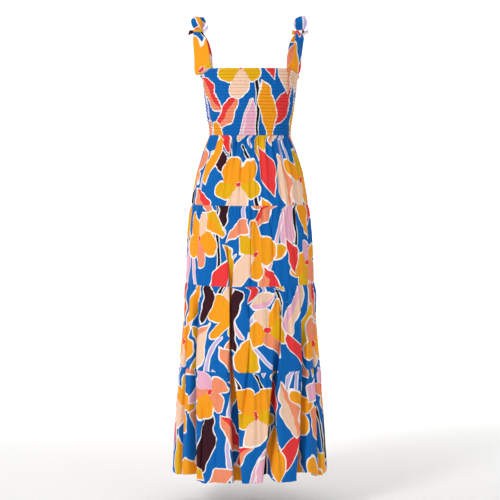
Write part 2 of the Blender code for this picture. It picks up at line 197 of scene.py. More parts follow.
def print_leaf(tree, ground, cloth, leaf):
    """A leaf in one or two tones, with a chalk outline."""
    place = motif_place(tree, cloth, leaf)
    half = leaf.length / 2
    sides = []
    for bulge, way in ((leaf.left, 1), (leaf.right, -1)):
        radius = (half**2 + bulge**2) / (2 * bulge)
        centre = (way * (radius - bulge), 0, 0)
        away = vector_calc(tree, "DISTANCE", {0: place, 1: centre}, output="Value")
        sides.append(calc(tree, "SUBTRACT", away, radius))
    outside = calc(tree, "MAXIMUM", *sides)
    ground = lay_over(tree, ground, calc(tree, "LESS_THAN", outside, OUTLINE), linear(CHALK))
    tone = linear(leaf.colour)
    if leaf.other:
        tone = lay_over(tree, tone, calc(tree, "LESS_THAN", *sides), linear(leaf.other))
    return lay_over(tree, ground, calc(tree, "LESS_THAN", outside, 0.0), tone)


def print_flower(tree, ground, cloth, flower):
    """An open flower, its petals unevenly spread and outlined in chalk."""
    place = motif_place(tree, cloth, flower)
    xy = add_node(tree, "ShaderNodeSeparateXYZ", {0: place})
    out = vector_calc(tree, "LENGTH", {0: place}, output="Value")
    bearing = calc(tree, "ARCTAN2", xy.outputs[1], xy.outputs[0])
    sway = calc(tree, "SINE", calc(tree, "MULTIPLY_ADD", bearing, 2.0, flower.turn))
    bearing = calc(tree, "MULTIPLY_ADD", sway, flower.uneven, bearing)
    half_turn = math.pi / flower.petals
    off_petal = calc(tree, "PINGPONG", bearing, half_turn)
    middle = (flower.radius + HEART_RADIUS) / 2
    reach = (flower.radius - HEART_RADIUS) / 2
    along = calc(tree, "MULTIPLY", out, calc(tree, "COSINE", off_petal))
    along = calc(tree, "MULTIPLY_ADD", along, 1 / reach, -middle / reach)
    across = calc(tree, "MULTIPLY", out, calc(tree, "SINE", off_petal))
    across = calc(tree, "MULTIPLY", across, 2 / flower.petal_width)
    oval = add_node(tree, "ShaderNodeCombineXYZ", {0: along, 1: across}).outputs[0]
    oval = vector_calc(tree, "LENGTH", {0: oval}, output="Value")
    edge = calc(tree, "LESS_THAN", oval, 1 + 2 * OUTLINE / flower.petal_width)
    fill = calc(tree, "LESS_THAN", oval, 1.0)
    petal = calc(tree, "MULTIPLY_ADD", bearing, 1 / (2 * half_turn), 0.5 + flower.petals)
    petal = calc(tree, "FRACT", calc(tree, "DIVIDE", calc(tree, "FLOOR", petal), flower.petals))
    ramp = add_node(tree, "ShaderNodeValToRGB", {"Fac": petal})
    ramp.color_ramp.interpolation = "CONSTANT"
    for i, colour in enumerate(flower.colours):
        stop = ramp.color_ramp.elements[i] if i < 2 else ramp.color_ramp.elements.new(1.0)
        stop.position = max(0.0, (i - 0.5) / flower.petals)
        stop.color = linear(colour)
    ground = lay_over(tree, ground, edge, linear(CHALK))
    ground = lay_over(tree, ground, fill, ramp.outputs["Color"])
    return lay_over(tree, ground, calc(tree, "LESS_THAN", out, HEART_RADIUS), linear(RED))


def print_stem(tree, ground, cloth, stem):
    """A thin stem with a chalk edge."""
    place = motif_place(tree, cloth, stem)
    centre = (stem.radius, 0, 0)
    away = vector_calc(tree, "DISTANCE", {0: place, 1: centre}, output="Value")
    off = calc(tree, "ABSOLUTE", calc(tree, "SUBTRACT", away, abs(stem.radius)))
    along = add_node(tree, "ShaderNodeSeparateXYZ", {0: place}).outputs[1]
    past_end = calc(tree, "SUBTRACT", calc(tree, "ABSOLUTE", along), stem.length / 2)
    off = calc(tree, "ADD", off, calc(tree, "MAXIMUM", past_end, 0.0))
    edge = calc(tree, "LESS_THAN", off, stem.width / 2 + STEM_EDGE)
    core = calc(tree, "LESS_THAN", off, stem.width / 2)
    return lay_over(tree, lay_over(tree, ground, edge, linear(CHALK)), core, linear(stem.colour))


# The motifs' edges waver as if cut or drawn by hand, in slow waves: how far to the side and
# along the cloth, in millimetres.
WAVER_PER_MM, WAVER_DETAIL = 0.017, 1.5
CUT_OUT_WAVER = (34.0, 34.0, 0.0)
STEM_WAVER = (12.0, 6.0, 0.0)


def draw_print():
    """The whole print as one group of nodes, a screen at a time, from the cobalt ground up."""
    tree = bpy.data.node_groups.new("flower_and_leaf_print", "ShaderNodeTree")
    tree.interface.new_socket("Cloth", in_out="INPUT", socket_type="NodeSocketVector")
    tree.interface.new_socket("Print", in_out="OUTPUT", socket_type="NodeSocketColor")
    cloth = add_node(tree, "NodeGroupInput").outputs["Cloth"]
    waver = add_node(tree, "ShaderNodeTexNoise", {
        "Vector": cloth, "Scale": WAVER_PER_MM, "Detail": WAVER_DETAIL,
    }, noise_dimensions="2D").outputs["Color"]
    cut_out = vector_calc(tree, "MULTIPLY_ADD", {0: waver, 1: CUT_OUT_WAVER, 2: cloth})
    drawn = vector_calc(tree, "MULTIPLY_ADD", {0: waver, 1: STEM_WAVER, 2: cloth})
    printed = linear(COBALT)
    for stem in STEMS:
        printed = print_stem(tree, printed, drawn, stem)
    for leaf in LEAVES_UNDER:
        printed = print_leaf(tree, printed, cut_out, leaf)
    for flower in FLOWERS:
        printed = print_flower(tree, printed, cut_out, flower)
    for leaf in LEAVES_OVER:
        printed = print_leaf(tree, printed, cut_out, leaf)
    add_node(tree, "NodeGroupOutput", {"Print": printed})
    return tree


FLOWER_AND_LEAF_PRINT = draw_print()


def printed_viscose(name, washed_out=0.0, shirred=False):
    """Plain-woven viscose, screen printed: a soft matt face with a little sheen where it turns
    away, slubs in the yarn, and ink that sinks in unevenly. Its wrong side is paler, and where
    it is shirred, a stitched line along each row of elastic is painted darker: painted shade
    where the elastic draws the cloth in."""
    material = bpy.data.materials.new(name)
    material.use_nodes = True
    tree = material.node_tree
    shader = tree.nodes["Principled BSDF"]
    in_metres = add_node(tree, "ShaderNodeUVMap", uv_map="cloth").outputs[0]
    cloth = vector_calc(tree, "SCALE", {0: in_metres, "Scale": 1000.0})
    drawn = vector_calc(tree, "SCALE", {0: cloth, "Scale": 1 / PRINT_SCALE})
    printed = add_node(tree, "ShaderNodeGroup", node_tree=FLOWER_AND_LEAF_PRINT)
    tree.links.new(drawn, printed.inputs["Cloth"])

    # The ink sinks into slubs that are drawn out along the threads.
    slub = add_node(tree, "ShaderNodeMapping", {"Vector": cloth, "Scale": SLUBS_PER_MM})
    slub = add_node(tree, "ShaderNodeTexNoise", {
        "Vector": slub.outputs[0], "Scale": 1.0, "Detail": 4.0,
    }, noise_dimensions="2D").outputs[0]
    ink = add_node(tree, "ShaderNodeMapRange", {
        "Value": slub, "From Min": 0.3, "From Max": 0.7, "To Min": LEAST_INK, "To Max": MOST_INK,
    }).outputs[0]
    colour = vector_calc(tree, "SCALE", {0: printed.outputs[0], "Scale": ink})
    if washed_out:
        colour = lay_over(tree, colour, washed_out, linear(CHALK))

    # The plain weave has threads of 0.4 mm, drawn three times as coarse so that they show.
    threads = vector_calc(tree, "SCALE", {0: cloth, "Scale": 2 * math.pi / WEAVE_SHOWN})
    threads = add_node(tree, "ShaderNodeSeparateXYZ", {0: threads})
    warp, weft = [calc(tree, "SINE", threads.outputs[k]) for k in (0, 1)]
    relief = calc(tree, "MULTIPLY_ADD", slub, SLUB_RELIEF, calc(tree, "MULTIPLY", warp, weft))
    # Where it is shirred, the cloth is darkened to STITCH_SHADE in stitch-long dashes along each row of
    # elastic. The dashes are the stitches, and the darkening is painted shade where the elastic draws the
    # cloth in.
    if shirred:
        sewing = add_node(tree, "ShaderNodeUVMap", uv_map="sewing").outputs[0]
        sewing = add_node(tree, "ShaderNodeSeparateXYZ", {0: sewing})
        row = calc(tree, "MULTIPLY", sewing.outputs[1], 1000 / SHIRRING_PITCH)
        off_row = calc(tree, "MULTIPLY", calc(tree, "PINGPONG", row, 0.5), SHIRRING_PITCH)
        on_row = calc(tree, "LESS_THAN", off_row, STITCH_SHADE_WIDTH / 2)
        stitched_shade = calc(tree, "MULTIPLY", on_row, calc(tree, "GREATER_THAN", row, -0.5))
        stitch = calc(tree, "MULTIPLY", sewing.outputs[0], 1000 / STITCH_LENGTH)
        stitch = calc(tree, "LESS_THAN", calc(tree, "FRACT", stitch), STITCH_SHARE)
        stitched_shade = calc(tree, "MULTIPLY", stitched_shade, stitch)
        shade = vector_calc(tree, "SCALE", {0: colour, "Scale": STITCH_SHADE})
        colour = lay_over(tree, colour, stitched_shade, shade)
    tree.links.new(colour, shader.inputs["Base Color"])
    bump = add_node(tree, "ShaderNodeBump", {
        "Strength": 0.3, "Distance": WEAVE_DEPTH_IN_METRES, "Height": relief,
    })
    tree.links.new(bump.outputs[0], shader.inputs["Normal"])
    shader.inputs["Roughness"].default_value = 0.74
    shader.inputs["Specular IOR Level"].default_value = 0.14
    shader.inputs["Sheen Weight"].default_value = 0.03
    shader.inputs["Sheen Roughness"].default_value = 0.4
    return material


PRINT_SCALE = 1.15
WEAVE_SHOWN, WEAVE_DEPTH_IN_METRES = 1.2, 0.0003
SLUBS_PER_MM = (0.5, 0.07, 1.0)
SLUB_RELIEF = 1.6
LEAST_INK, MOST_INK = 0.94, 1.05

# Twenty rows of elastic run from under the header to the waist seam.
HEADER_HEIGHT = 9
SHIRRED_HEIGHT, SHIRRING_ROWS = 183, 20
SHIRRING_PITCH = SHIRRED_HEIGHT / (SHIRRING_ROWS - 1)
# The painted shade along each row of elastic is this wide. It lies in dashes a stitch long and darkens
# the cloth to this share.
STITCH_SHADE_WIDTH = 1.3
STITCH_LENGTH, STITCH_SHARE, STITCH_SHADE = 3.2, 0.8, 0.46
SHIRRED_SIDE = printed_viscose("shirred_printed_viscose", shirred=True)
WRONG_SIDE = printed_viscose("printed_viscose_wrong_side", washed_out=0.4)

METRES_PER_MM = 0.001


def add_piece(name, bm, *materials):
    """A piece made from this mesh, shaded smooth."""
    mesh = bpy.data.meshes.new(name)
    bm.to_mesh(mesh)
    bm.free()
    for material in materials:
        mesh.materials.append(material)
    mesh.shade_smooth()
    piece = bpy.data.objects.new(name, mesh)
    bpy.context.scene.collection.objects.link(piece)
    return piece


def cut_panel(name, lines, down, cut_width, print_from, face_side, back_side, thickness, offset=-1):
    """Cuts a panel of cloth and lays it along lines of points, the top one first.

    down is how far each line lies below the panel's top edge on the flat cut, and print_from is
    where on the printed cloth that edge starts. The cloth's thickness goes inwards, or half
    each way at offset 0.
    """
    rows, columns = len(lines) - 1, len(lines[0]) - 1
    bm = bmesh.new()
    bmesh.ops.create_grid(bm, x_segments=columns, y_segments=rows, size=0.5)
    cloth_map = bm.loops.layers.uv.new("cloth")
    sewing_map = bm.loops.layers.uv.new("sewing")
    for vert in bm.verts:
        row, column = round((0.5 - vert.co.y) * rows), round((vert.co.x + 0.5) * columns)
        across = cut_width * column / columns
        on_cloth = Vector((print_from[0] + across, print_from[1] - down[row])) * METRES_PER_MM
        from_first_row = Vector((across, down[row] - HEADER_HEIGHT)) * METRES_PER_MM
        for loop in vert.link_loops:
            loop[cloth_map].uv = on_cloth
            loop[sewing_map].uv = from_first_row
        vert.co = Vector(lines[row][column]) * METRES_PER_MM
    piece = add_piece(name, bm, face_side, back_side)
    wall = piece.modifiers.new("cloth", "SOLIDIFY")
    wall.thickness = thickness * METRES_PER_MM
    wall.offset = offset
    wall.material_offset = 1
    return piece


BODY = "root"


def fit_piece(piece, node):
    """The piece rides with the dress and stands for its solid, which is hidden."""
    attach(piece, BODY)
    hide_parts(node)


WAIST_Z = -303
HEM_Z = -1292
FRONT_NECK_Z = -111
BACK_NECK_Z = -118

# Under the arms the top edge dips and stands away a little. The dip begins where the angle's
# cosine passes the first number, and is whole when it has grown by the second.
UNDERARM_Z = -131
UNDERARM_FROM, UNDERARM_REACH = 0.84, 0.15
UNDERARM_FLARE, FLARE_HEIGHT = 8, 24
CROWDING_FADE = 6
WAIST_GAP = 0.2

# How far the cloth puffs out between two elastic rows, and how much that varies. The higher
# the power, the fuller the puff. The header's puckers deepen towards its edge.
PUFF, PUFF_VARIES, PUFF_POWER = 2.2, 0.14, 2.4
HEADER_PUFF = 1.1
HEADER_PUCKERS = (0.5, 1.1)
FRILL = 0.5

# Puckers run across the rows. They drift round the dress, and each row shifts them a little.
PUCKERS = 112
PUCKER_DEPTH = 0.9
PUCKER_ON_ELASTIC = 0.55
PUCKER_DRIFT, ROW_DRIFT = 5.0, 1.3
SIDE_SEAM_DEPTH, SIDE_SEAM_WIDTH, SIDE_RADIUS = 1.0, 2.0, 130
BODICE_INSET = 0.6

# The form that the dress fills is a run of level superellipses, of this power.
SUPERELLIPSE = 2.3
Section = namedtuple("Section", "height half_width half_depth centre_y")
SECTIONS = (
    Section(-111, 139.5, 104, -2),
    Section(-170, 134.0, 113, -7),
    Section(-240, 125.5, 102, -5),
    Section(-303, 118.5, 92, -1),
    Section(-352, 135.0, 103, 2),
    Section(-400, 152.0, 116, 4),
    Section(-450, 162.0, 126, 5),
    Section(-504, 170.5, 134, 5),
    Section(-612, 184.0, 146, 4),
    Section(-734, 189.5, 156, 3),
    Section(-849, 196.5, 165, 2),
    Section(-978, 207.0, 175, 0),
    Section(-1137, 219.5, 187, 0),
    Section(-1292, 229.5, 196, 0),
)


def smooth(share):
    """An even ramp from 0 to 1 with level ends."""
    share = np.clip(share, 0.0, 1.0)
    return share * share * (3 - 2 * share)


def between(low, high, share):
    """The value this share of the way from low to high."""
    return low + (high - low) * share


def section_at(height):
    """The form's half width, half depth and centre at each height, on a smooth curve."""
    table = np.array(SECTIONS, dtype=float)
    heights, values = table[:, 0], table[:, 1:]
    last = len(SECTIONS) - 1
    after = np.minimum(np.arange(last + 1) + 1, last)
    before = np.maximum(np.arange(last + 1) - 1, 0)
    slopes = (values[after] - values[before]) / (heights[after] - heights[before])[:, None]
    k = np.clip(np.searchsorted(-heights, -height, side="right") - 1, 0, last - 1)
    span = heights[k + 1] - heights[k]
    t = ((height - heights[k]) / span)[:, None]
    rise_in, rise_out = slopes[k] * span[:, None], slopes[k + 1] * span[:, None]
    curve = (
        (2 * t**3 - 3 * t**2 + 1) * values[k]
        + (t**3 - 2 * t**2 + t) * rise_in
        + (3 * t**2 - 2 * t**3) * values[k + 1]
        + (t**3 - t**2) * rise_out
    )
    return curve.T


def on_form(angle, height, outwards, sideways=0.0):
    """Points on the form, or this far outside it and to the side along it."""
    half_width, half_depth, centre_y = section_at(height)
    across, along = np.abs(np.cos(angle)) / half_width, np.abs(np.sin(angle)) / half_depth
    radius = (across**SUPERELLIPSE + along**SUPERELLIPSE) ** (-1 / SUPERELLIPSE) + outwards
    x = radius * np.cos(angle) - sideways * np.sin(angle)
    y = centre_y + radius * np.sin(angle) + sideways * np.cos(angle)
    return np.stack([x, y, height], axis=1)


WANDER_WAVES, WANDER_SPREAD = 6, 2.4


def wander(angle, waves, seed):
    """Smooth uneven numbers, mostly from -1 to 1, with about this many waves round the dress."""
    chance = np.random.default_rng(seed)
    total = np.zeros_like(angle)
    for count in chance.integers(max(1, waves // 2), 2 * waves, WANDER_WAVES):
        total += np.sin(count * angle + chance.uniform(0, 2 * math.pi))
    return total / WANDER_SPREAD


def under_arm(angle):
    """1 under the arms and 0 over the front and the back."""
    return smooth((np.abs(np.cos(angle)) - UNDERARM_FROM) / UNDERARM_REACH)


def neckline_height(angle):
    """The bodice's top edge: level in front and behind, and lower under each arm."""
    level = np.where(np.sin(angle) < 0, FRONT_NECK_Z, BACK_NECK_Z)
    return between(level, UNDERARM_Z, under_arm(angle))


def shirred_line(angle, below):
    """The bodice this far below a level top edge. The cloth puffs between the elastic rows and
    puckers along them, and under the arms the upper rows crowd down."""
    share = below / (FRONT_NECK_Z - WAIST_Z)
    dip = (FRONT_NECK_Z - neckline_height(angle)) * (1 - share) ** CROWDING_FADE
    height = np.maximum(FRONT_NECK_Z - below - dip, WAIST_Z + WAIST_GAP)
    flare = UNDERARM_FLARE * under_arm(angle) * smooth(1 - below / FLARE_HEIGHT)
    row = (below - HEADER_HEIGHT) / SHIRRING_PITCH
    nearest = math.floor(row + 0.5)
    crowd = PUCKER_DRIFT * wander(angle, waves=9, seed=11)
    crowd += ROW_DRIFT * wander(angle, waves=21, seed=40 + nearest)
    pucker = np.cos(PUCKERS * angle + crowd)
    if row < 0:
        rise = -row * SHIRRING_PITCH / HEADER_HEIGHT
        puff = HEADER_PUFF * math.sqrt(rise) + between(*HEADER_PUCKERS, rise) * pucker
        height = height + FRILL * rise * wander(angle, waves=60, seed=5)
    else:
        middle = 1 - abs(2 * (row - math.floor(row)) - 1)
        varies = 1 + PUFF_VARIES * wander(angle, waves=34, seed=70 + math.floor(row))
        puff = PUFF * (1 - (1 - middle) ** PUFF_POWER) * varies
        puff += PUCKER_DEPTH * pucker * between(PUCKER_ON_ELASTIC, 1.0, middle)
    side_seam = SIDE_SEAM_DEPTH * np.exp(-((np.sin(angle) * SIDE_RADIUS / SIDE_SEAM_WIDTH) ** 2))
    return on_form(angle, height, puff + flare - side_seam - BODICE_INSET)


BODICE_LENGTH = FRONT_NECK_Z - WAIST_Z
CLOTH_THICKNESS = 0.7
BODICE_CUT = (500, BODICE_LENGTH)
BODICE_COLUMNS, BODICE_LINES = 250, 120

# Each panel starts half a turn from the other, and elsewhere on the printed cloth.
for side, turn, print_from in (("front", 0.5, (355, 618)), ("back", 0.0, (980, 1310))):
    angle = 2 * math.pi * (turn + np.linspace(0, 0.5, BODICE_COLUMNS + 1))
    down = np.linspace(0, BODICE_LENGTH, BODICE_LINES + 1)
    lines = [shirred_line(angle, below) for below in down]
    bodice = cut_panel(
        f"bodice_{side}_cloth", lines, down,
        BODICE_CUT[0], print_from, SHIRRED_SIDE, WRONG_SIDE, CLOTH_THICKNESS,
    )
    fit_piece(bodice, f"bodice_{side}")


# Skirt tiers
# Four widths of printed viscose, each gathered along its top and sewn to the edge of the one
# above. Each is a front and a back panel, and the last ends in a narrow stitched hem.

RIGHT_SIDE = printed_viscose("printed_viscose_right_side")

# Gathers are sharper on their ridges than in their hollows, of uneven sizes, and fullest a
# tenth of the way down a tier. The fine ones have an uneven reach, in millimetres.
GATHER_PEAK_SHARE = 0.10
SECOND_WAVE = 0.35
GATHER_DRIFT, GATHER_TWIST = 0.5, 0.3
USUAL_GATHER, GATHER_VARIES = 0.62, 0.34
SMALLEST_GATHER, LARGEST_GATHER = 0.1, 1.4
FINE_REACH, REACH_VARIES = 95, 55
SHORTEST_REACH, LONGEST_REACH = 22, 230
FINE_DRIFT = 2.6
FINE_AT_SEAM, FINE_GROWS = 0.35, 12
CROWDING_WAVES = ((11, 0.020), (7, 0.022))

# A tier's top edge is tucked inside the one above, whose own edge lies flat and turns in.
SEAM_TUCK = 3.0
TUCK_DEPTH, TUCK_FADES = 2.2, 2.2 * SEAM_TUCK
GATHERS_BEGIN = 2 * SEAM_TUCK
SEAM_FLAT, GATHER_LEFT_AT_SEAM = 9, 0.15
SEAM_TURN, SEAM_TURN_WIDTH = 1.2, 4
SIDE_SEAM_CALM = 0.06
SKIRT_SEAM_DEPTH, SKIRT_SEAM_WIDTH, SKIRT_SIDE_RADIUS = 0.9, 2.2, 190

# The hem is folded twice and stitched, so it is a little thicker, with a groove over it.
HEM_WIDTH = 8
HEM_STEP, HEM_STEP_ABOVE = 0.45, 0.5
GROOVE_DEPTH, GROOVE_OVER_HEM, GROOVE_WIDTH = 0.5, 1.0, 0.7

# The hem hangs unevenly: it is drawn up where a fold runs out through it, and dips beside it.
HemRise = namedtuple("HemRise", "angle half_angle rise")
HEM_RISES = (
    HemRise(213, 9, 11),
    HemRise(233, 8, -6),
    HemRise(287.5, 11, 17),
    HemRise(321, 10, 20),
    HemRise(24, 10, 13),
    HemRise(48, 8, -4),
    HemRise(74, 11, 16),
    HemRise(101, 7, 6),
    HemRise(130, 9, 14),
    HemRise(154, 8, 9),
)
RISE_STARTS = 150

# The gather sizes are half the height of a wave. The fine ones leave the seam, and most fade
# within a hand's width of it.
Tier = namedtuple("Tier", "top bottom gathers full_gather hem_gather fine_gathers fine_size cut_width")
TIERS = (
    Tier(WAIST_Z, -504, 38, 4.4, 3.0, 92, 2.6, 600),
    Tier(-504, -734, 42, 3.8, 2.2, 112, 2.2, 740),
    Tier(-734, -978, 44, 4.2, 2.4, 122, 2.3, 860),
    Tier(-978, HEM_Z, 48, 4.6, 2.8, 130, 2.5, 1100),
)

# Deep inward folds. The angle runs from +X through the back (+Y) and -X to the front (-Y) at
# 270 degrees. A fold leans from its top angle to its hem angle. Its lips are how far the cloth
# beside it hangs over it, on the left and the right of someone who faces it.
Fold = namedtuple("Fold", "top_height top_angle hem_angle half_angle flat_share depth left_lip right_lip")
FOLDS = (
    Fold(-760, 200, 204, 5.0, 0.2, 24, 9, 3),
    Fold(-700, 211, 219.5, 7.0, 0.25, 54, 14, 6),
    Fold(-590, 246, 261.5, 9.0, 0.7, 34, 11, 25),
    Fold(-860, 299, 286.5, 8.0, 0.3, 42, 5, 18),
    Fold(-770, 327, 312.0, 8.0, 0.6, 40, 18, 7),
    Fold(-840, 338, 334.0, 5.0, 0.2, 28, 3, 12),
    Fold(-720, 20, 24, 8.0, 0.3, 38, 8, 15),
    Fold(-800, 52, 47, 7.0, 0.2, 44, 15, 4),
    Fold(-640, 77, 73, 9.0, 0.7, 36, 17, 15),
    Fold(-880, 96, 101, 7.5, 0.3, 42, 16, 5),
    Fold(-700, 124, 129, 8.0, 0.6, 46, 6, 18),
    Fold(-780, 160, 155, 7.0, 0.2, 34, 4, 13),
)
FOLD_TOP_NARROWING = 0.7
FOLD_FULL_BY = 0.4
LIP_ENDS = 2.0

# Soft creases where the cloth breaks between the folds: troughs, or ridges where the depth is
# negative. Each fades in below its top and out past its bottom. A lip hangs over it from the
# left, or from the right where it is negative.
Crease = namedtuple(
    "Crease", "top_height bottom_height top_angle bottom_angle half_angle depth lip", defaults=(0,)
)
CREASES = (
    Crease(-560, -985, 243.4, 246.6, 2.4, 15, 12),
    Crease(-520, -720, 273, 272, 2.2, 7, -9),
    Crease(-740, -1120, 267.5, 268.8, 2.0, 9, 12),
    Crease(-318, -470, 236, 233, 2.4, 3.5),
    Crease(-322, -500, 258, 257, 2.0, 2.5),
    Crease(-316, -455, 284, 286, 2.2, 3.0),
    Crease(-325, -498, 306, 309, 2.6, 3.5),
    Crease(-515, -690, 229, 227, 2.6, -3.5),
    Crease(-530, -728, 293, 296, 2.8, 4.0, 8),
    Crease(-525, -700, 316, 319, 2.6, 4.5, -7),
    Crease(-750, -975, 302, 300, 2.4, 9.0, -11),
    Crease(-760, -960, 231, 232, 2.4, -5.0),
    Crease(-745, -940, 282, 282, 3.0, -4.5),
    Crease(-1020, -1290, 321, 321, 2.2, 8.0, 10),
    Crease(-1010, -1288, 240, 241, 2.6, 5.0, -9),
    Crease(-990, -1220, 274, 274, 2.4, -6.0),
    Crease(-1060, -1290, 298, 299, 2.2, 6.5, 10),
    Crease(-1050, -1290, 228, 229, 2.0, 6.0, 9),
    Crease(-320, -480, 18, 16, 2.4, 3.0),
    Crease(-318, -495, 44, 46, 2.4, 3.5),
    Crease(-322, -460, 71, 70, 2.0, 2.5),
    Crease(-317, -500, 112, 115, 2.4, 3.0),
    Crease(-324, -470, 148, 151, 2.6, 3.5),
    Crease(-520, -725, 34, 33, 2.6, 4.5, 9),
    Crease(-516, -690, 62, 62, 2.4, -3.5),
    Crease(-525, -730, 104, 106, 2.8, 5.0, -9),
    Crease(-518, -700, 141, 142, 2.4, 4.0, 7),
    Crease(-750, -970, 38, 37, 2.4, 6.0, -9),
    Crease(-760, -965, 112, 113, 2.6, -5.0),
    Crease(-745, -960, 146, 144, 2.2, 6.0, 9),
    Crease(-1015, -1290, 36, 36, 2.4, 7.0, 9),
    Crease(-1000, -1288, 60, 60, 2.2, -5.5),
    Crease(-1040, -1290, 86, 87, 2.4, 7.5, -10),
    Crease(-1010, -1290, 115, 115, 2.2, 6.5, 9),
    Crease(-1030, -1290, 142, 142, 2.6, -6.0),
    Crease(-1020, -1290, 190, 191, 2.4, 6.0, 8),
    Crease(-1010, -1290, 349, 348, 2.4, 6.5, -8),
)
CREASE_FADES_IN = 0.3
CREASE_ENDS = 1.25
CREASE_FADES_OUT = 0.5
CREASE_LIP_ENDS = 3.5


def off_angle(angle, middle):
    """How far round from a middle each angle lies, the short way."""
    return (angle - math.radians(middle) + math.pi) % (2 * math.pi) - math.pi


def folds_at(angle, height):
    """How far the folds and creases draw the cloth in, and how far lips lean over them."""
    depth, lean = np.zeros_like(angle), np.zeros_like(angle)
    for fold in FOLDS:
        grown = (fold.top_height - height) / (fold.top_height - HEM_Z)
        if grown > 0:
            off = off_angle(angle, between(fold.top_angle, fold.hem_angle, grown))
            half_angle = fold.half_angle * between(FOLD_TOP_NARROWING, 1.0, grown)
            share = np.abs(off) / math.radians(half_angle)
            flank = (share - fold.flat_share) / (1 - fold.flat_share)
            full = smooth(grown / FOLD_FULL_BY)
            depth += fold.depth * full * (1 - smooth(flank))
            hang = full * smooth(flank) * smooth((LIP_ENDS - share) / (LIP_ENDS - 1))
            lean += np.where(off < 0, fold.left_lip, -fold.right_lip) * hang
    for crease in CREASES:
        share = (crease.top_height - height) / (crease.top_height - crease.bottom_height)
        fade = smooth(share / CREASE_FADES_IN) * smooth((CREASE_ENDS - share) / CREASE_FADES_OUT)
        if fade > 0:
            off = off_angle(angle, between(crease.top_angle, crease.bottom_angle, share))
            share = np.abs(off) / math.radians(crease.half_angle)
            depth += crease.depth * fade * (1 - smooth(share))
            hang = fade * smooth(share) * smooth((CREASE_LIP_ENDS - share) / (CREASE_LIP_ENDS - 1))
            lean += crease.lip * hang * (np.sign(crease.lip) * off < 0)
    return depth, lean


def gather_lift(tier, full, below):
    """How far gathers lift the cloth out: broad ones all down the tier, fine ones at its top."""
    share = below / (tier.top - tier.bottom)
    wave = full * tier.gathers + GATHER_DRIFT * wander(full, waves=17, seed=tier.gathers) * share
    ridge = (np.cos(wave) + SECOND_WAVE * np.cos(2 * wave)) / (1 + SECOND_WAVE)
    size = tier.full_gather * smooth(share / GATHER_PEAK_SHARE)
    past_peak = (share - GATHER_PEAK_SHARE) / (1 - GATHER_PEAK_SHARE)
    size = between(size, tier.hem_gather, smooth(past_peak))
    twisted = full + GATHER_TWIST * share
    uneven = USUAL_GATHER + GATHER_VARIES * wander(twisted, waves=14, seed=tier.gathers + 1)
    uneven = np.clip(uneven, SMALLEST_GATHER, LARGEST_GATHER)
    reach = FINE_REACH + REACH_VARIES * wander(full, waves=40, seed=tier.gathers + 2)
    reach = np.clip(reach, SHORTEST_REACH, LONGEST_REACH)
    drift = FINE_DRIFT * wander(full, waves=30, seed=tier.gathers + 3)
    fine = np.cos(tier.fine_gathers * full + drift)
    fine *= between(FINE_AT_SEAM, 1.0, smooth(below / FINE_GROWS)) * smooth(1 - below / reach)
    at_side_seam = smooth(np.abs(np.sin(full)) / SIDE_SEAM_CALM)
    return (size * ridge * uneven + tier.fine_size * fine) * at_side_seam


def hem_rise(angle):
    """How far the hem is drawn up at each angle."""
    rise = np.zeros_like(angle)
    for place in HEM_RISES:
        share = np.abs(off_angle(angle, place.angle)) / math.radians(place.half_angle)
        rise += place.rise * (1 - smooth(share))
    return rise


def draped_line(tier, turns, below):
    """The cloth of a tier, this far below its seam."""
    height = tier.top - below
    full = 2 * math.pi * turns
    angle = full + sum(shift * np.sin(waves * full) for waves, shift in CROWDING_WAVES)
    depth, lean = folds_at(angle, height)
    tucked = TUCK_DEPTH * (1 - smooth((below + SEAM_TUCK) / TUCK_FADES))
    lift = gather_lift(tier, full, max(0.0, below))
    lift *= smooth((below + GATHERS_BEGIN) / (2 * GATHERS_BEGIN))
    to_edge = height - tier.bottom
    heights = np.full_like(angle, height)
    if tier.bottom == HEM_Z:
        groove = math.exp(-((to_edge - HEM_WIDTH - GROOVE_OVER_HEM) / GROOVE_WIDTH) ** 2)
        tucked += GROOVE_DEPTH * groove - HEM_STEP * smooth(HEM_WIDTH + HEM_STEP_ABOVE - to_edge)
        heights += hem_rise(angle) * smooth(1 - to_edge / RISE_STARTS)
    else:
        tucked += SEAM_TURN * smooth(1 - to_edge / SEAM_TURN_WIDTH)
        lift *= between(GATHER_LEFT_AT_SEAM, 1.0, smooth(to_edge / SEAM_FLAT))
    off_side = np.sin(full) * SKIRT_SIDE_RADIUS
    side_seam = SKIRT_SEAM_DEPTH * np.exp(-((off_side / SKIRT_SEAM_WIDTH) ** 2))
    return on_form(angle, heights, lift - depth - tucked - side_seam, lean)


def spread_evenly(line, columns):
    """The same line with its points an even length of cloth apart."""
    steps = np.linalg.norm(np.diff(line, axis=0), axis=1)
    run = np.concatenate([[0.0], np.cumsum(steps)])
    places = np.linspace(0.0, run[-1], columns + 1)
    return np.stack([np.interp(places, run, line[:, k]) for k in range(3)], axis=1)


# The lines of cloth lie close together over the tuck at a tier's top and at its lower edge,
# from which they are counted up.
SEAMS_AND_HEM = 12
SKIRT_COLUMNS = 300
LINE_POINTS = 1200
TOP_LINES = (-SEAM_TUCK, -1.5, 0.0, 1.5, 3.0, 5.0, 7.5, 10.5, 14.0)
MIDDLE_FROM, MIDDLE_TO_EDGE, MIDDLE_LINES = 19, 12, 38
EDGE_LINES = (9.6, 9.0, 8.4, 7.0, 4.0, 2.0, 1.0, 0.0)

